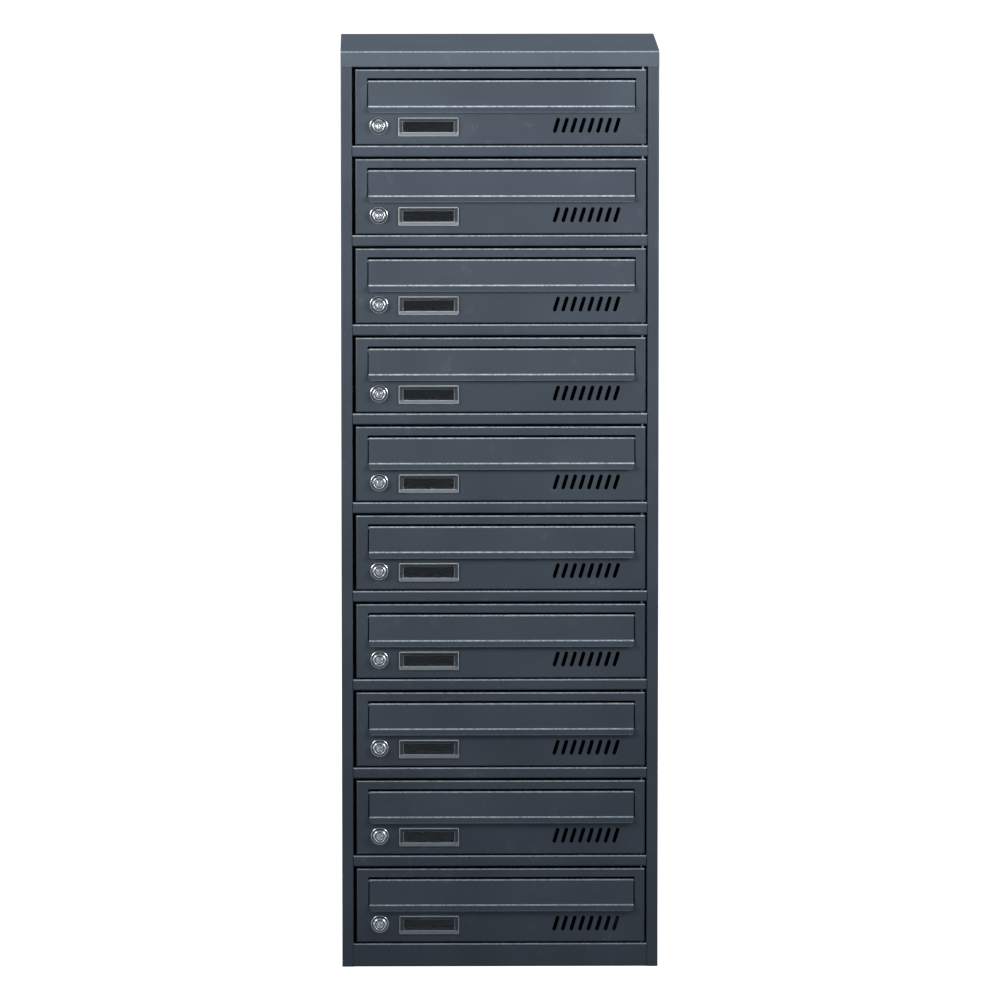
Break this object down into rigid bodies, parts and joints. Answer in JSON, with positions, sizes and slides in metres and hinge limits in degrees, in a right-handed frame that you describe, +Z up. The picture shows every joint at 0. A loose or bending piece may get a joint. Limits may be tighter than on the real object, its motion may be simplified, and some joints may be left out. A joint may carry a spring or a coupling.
{
  "type": "cluster mailbox unit",
  "caption": "Tall slim sheet-steel cabinet with one column of lockable mail compartments; each hinged door has a letter flap, name holder, slanted vents and a cam lock.",
  "frame": {"origin": "on the ground, in the middle of the unit's overall width and depth", "axes": "+Z up the unit's height, -Y out of the doors, +X to the right of someone facing the doors"},
  "size_m": [0.39, 0.2662, 1.135],
  "materials": {
    "powder_coat": "fine-grained satin anthracite powder coat",
    "chrome": "polished nickel-chrome plate",
    "zinc_steel": "bright zinc plate",
    "clear_plastic": "clear moulded plastic"
  },
  "bodies": {
    "cabinet": {"left_side_panel": "powder_coat", "right_side_panel": "powder_coat", "top_panel": "powder_coat", "base_panel": "powder_coat", "back_panel": "powder_coat", "shelves": "powder_coat", "shelf_rivets": "powder_coat", "back_panel_rivets": "powder_coat", "door_hinge_pins": "zinc_steel"},
    "door_01": {"door_01": "powder_coat", "lock_body_01": "chrome", "name_holder_01": "clear_plastic"},
    "flap_01": {"flap_01": "powder_coat"},
    "lock_01": {"lock_plug_01": "chrome"},
    "door_02": {"door_02": "powder_coat", "lock_body_02": "chrome", "name_holder_02": "clear_plastic"},
    "flap_02": {"flap_02": "powder_coat"},
    "lock_02": {"lock_plug_02": "chrome"},
    "door_03": {"door_03": "powder_coat", "lock_body_03": "chrome", "name_holder_03": "clear_plastic"},
    "flap_03": {"flap_03": "powder_coat"},
    "lock_03": {"lock_plug_03": "chrome"},
    "door_04": {"door_04": "powder_coat", "lock_body_04": "chrome", "name_holder_04": "clear_plastic"},
    "flap_04": {"flap_04": "powder_coat"},
    "lock_04": {"lock_plug_04": "chrome"},
    "door_05": {"door_05": "powder_coat", "lock_body_05": "chrome", "name_holder_05": "clear_plastic"},
    "flap_05": {"flap_05": "powder_coat"},
    "lock_05": {"lock_plug_05": "chrome"},
    "door_06": {"door_06": "powder_coat", "lock_body_06": "chrome", "name_holder_06": "clear_plastic"},
    "flap_06": {"flap_06": "powder_coat"},
    "lock_06": {"lock_plug_06": "chrome"},
    "door_07": {"door_07": "powder_coat", "lock_body_07": "chrome", "name_holder_07": "clear_plastic"},
    "flap_07": {"flap_07": "powder_coat"},
    "lock_07": {"lock_plug_07": "chrome"},
    "door_08": {"door_08": "powder_coat", "lock_body_08": "chrome", "name_holder_08": "clear_plastic"},
    "flap_08": {"flap_08": "powder_coat"},
    "lock_08": {"lock_plug_08": "chrome"},
    "door_09": {"door_09": "powder_coat", "lock_body_09": "chrome", "name_holder_09": "clear_plastic"},
    "flap_09": {"flap_09": "powder_coat"},
    "lock_09": {"lock_plug_09": "chrome"},
    "door_10": {"door_10": "powder_coat", "lock_body_10": "chrome", "name_holder_10": "clear_plastic"},
    "flap_10": {"flap_10": "powder_coat"},
    "lock_10": {"lock_plug_10": "chrome"}
  },
  "joints": [
    {"name": "door_01_hinge", "type": "hinge", "parent": "cabinet", "child": "door_01", "pos_m": [0.175, -0.12065, 1.0673], "axis": [0, 0, 1], "range_deg": [0, 95]},
    {"name": "flap_01_hinge", "type": "hinge", "parent": "door_01", "child": "flap_01", "pos_m": [0, -0.12205, 1.0965], "axis": [-1, 0, 0], "range_deg": [0, 80]},
    {"name": "lock_01_turn", "type": "hinge", "parent": "door_01", "child": "lock_01", "pos_m": [-0.1484, -0.12515, 1.0435], "axis": [0, -1, 0], "range_deg": [0, 90]},
    {"name": "door_02_hinge", "type": "hinge", "parent": "cabinet", "child": "door_02", "pos_m": [0.175, -0.12065, 0.9573], "axis": [0, 0, 1], "range_deg": [0, 95]},
    {"name": "flap_02_hinge", "type": "hinge", "parent": "door_02", "child": "flap_02", "pos_m": [0, -0.12205, 0.9865], "axis": [-1, 0, 0], "range_deg": [0, 80]},
    {"name": "lock_02_turn", "type": "hinge", "parent": "door_02", "child": "lock_02", "pos_m": [-0.1484, -0.12515, 0.9335], "axis": [0, -1, 0], "range_deg": [0, 90]},
    {"name": "door_03_hinge", "type": "hinge", "parent": "cabinet", "child": "door_03", "pos_m": [0.175, -0.12065, 0.8473], "axis": [0, 0, 1], "range_deg": [0, 95]},
    {"name": "flap_03_hinge", "type": "hinge", "parent": "door_03", "child": "flap_03", "pos_m": [0, -0.12205, 0.8765], "axis": [-1, 0, 0], "range_deg": [0, 80]},
    {"name": "lock_03_turn", "type": "hinge", "parent": "door_03", "child": "lock_03", "pos_m": [-0.1484, -0.12515, 0.8235], "axis": [0, -1, 0], "range_deg": [0, 90]},
    {"name": "door_04_hinge", "type": "hinge", "parent": "cabinet", "child": "door_04", "pos_m": [0.175, -0.12065, 0.7373], "axis": [0, 0, 1], "range_deg": [0, 95]},
    {"name": "flap_04_hinge", "type": "hinge", "parent": "door_04", "child": "flap_04", "pos_m": [0, -0.12205, 0.7665], "axis": [-1, 0, 0], "range_deg": [0, 80]},
    {"name": "lock_04_turn", "type": "hinge", "parent": "door_04", "child": "lock_04", "pos_m": [-0.1484, -0.12515, 0.7135], "axis": [0, -1, 0], "range_deg": [0, 90]},
    {"name": "door_05_hinge", "type": "hinge", "parent": "cabinet", "child": "door_05", "pos_m": [0.175, -0.12065, 0.6273], "axis": [0, 0, 1], "range_deg": [0, 95]},
    {"name": "flap_05_hinge", "type": "hinge", "parent": "door_05", "child": "flap_05", "pos_m": [0, -0.12205, 0.6565], "axis": [-1, 0, 0], "range_deg": [0, 80]},
    {"name": "lock_05_turn", "type": "hinge", "parent": "door_05", "child": "lock_05", "pos_m": [-0.1484, -0.12515, 0.6035], "axis": [0, -1, 0], "range_deg": [0, 90]},
    {"name": "door_06_hinge", "type": "hinge", "parent": "cabinet", "child": "door_06", "pos_m": [0.175, -0.12065, 0.5173], "axis": [0, 0, 1], "range_deg": [0, 95]},
    {"name": "flap_06_hinge", "type": "hinge", "parent": "door_06", "child": "flap_06", "pos_m": [0, -0.12205, 0.5465], "axis": [-1, 0, 0], "range_deg": [0, 80]},
    {"name": "lock_06_turn", "type": "hinge", "parent": "door_06", "child": "lock_06", "pos_m": [-0.1484, -0.12515, 0.4935], "axis": [0, -1, 0], "range_deg": [0, 90]},
    {"name": "door_07_hinge", "type": "hinge", "parent": "cabinet", "child": "door_07", "pos_m": [0.175, -0.12065, 0.4073], "axis": [0, 0, 1], "range_deg": [0, 95]},
    {"name": "flap_07_hinge", "type": "hinge", "parent": "door_07", "child": "flap_07", "pos_m": [0, -0.12205, 0.4365], "axis": [-1, 0, 0], "range_deg": [0, 80]},
    {"name": "lock_07_turn", "type": "hinge", "parent": "door_07", "child": "lock_07", "pos_m": [-0.1484, -0.12515, 0.3835], "axis": [0, -1, 0], "range_deg": [0, 90]},
    {"name": "door_08_hinge", "type": "hinge", "parent": "cabinet", "child": "door_08", "pos_m": [0.175, -0.12065, 0.2973], "axis": [0, 0, 1], "range_deg": [0, 95]},
    {"name": "flap_08_hinge", "type": "hinge", "parent": "door_08", "child": "flap_08", "pos_m": [0, -0.12205, 0.3265], "axis": [-1, 0, 0], "range_deg": [0, 80]},
    {"name": "lock_08_turn", "type": "hinge", "parent": "door_08", "child": "lock_08", "pos_m": [-0.1484, -0.12515, 0.2735], "axis": [0, -1, 0], "range_deg": [0, 90]},
    {"name": "door_09_hinge", "type": "hinge", "parent": "cabinet", "child": "door_09", "pos_m": [0.175, -0.12065, 0.1873], "axis": [0, 0, 1], "range_deg": [0, 95]},
    {"name": "flap_09_hinge", "type": "hinge", "parent": "door_09", "child": "flap_09", "pos_m": [0, -0.12205, 0.2165], "axis": [-1, 0, 0], "range_deg": [0, 80]},
    {"name": "lock_09_turn", "type": "hinge", "parent": "door_09", "child": "lock_09", "pos_m": [-0.1484, -0.12515, 0.1635], "axis": [0, -1, 0], "range_deg": [0, 90]},
    {"name": "door_10_hinge", "type": "hinge", "parent": "cabinet", "child": "door_10", "pos_m": [0.175, -0.12065, 0.0773], "axis": [0, 0, 1], "range_deg": [0, 95]},
    {"name": "flap_10_hinge", "type": "hinge", "parent": "door_10", "child": "flap_10", "pos_m": [0, -0.12205, 0.1065], "axis": [-1, 0, 0], "range_deg": [0, 80]},
    {"name": "lock_10_turn", "type": "hinge", "parent": "door_10", "child": "lock_10", "pos_m": [-0.1484, -0.12515, 0.0535], "axis": [0, -1, 0], "range_deg": [0, 90]}
  ]
}
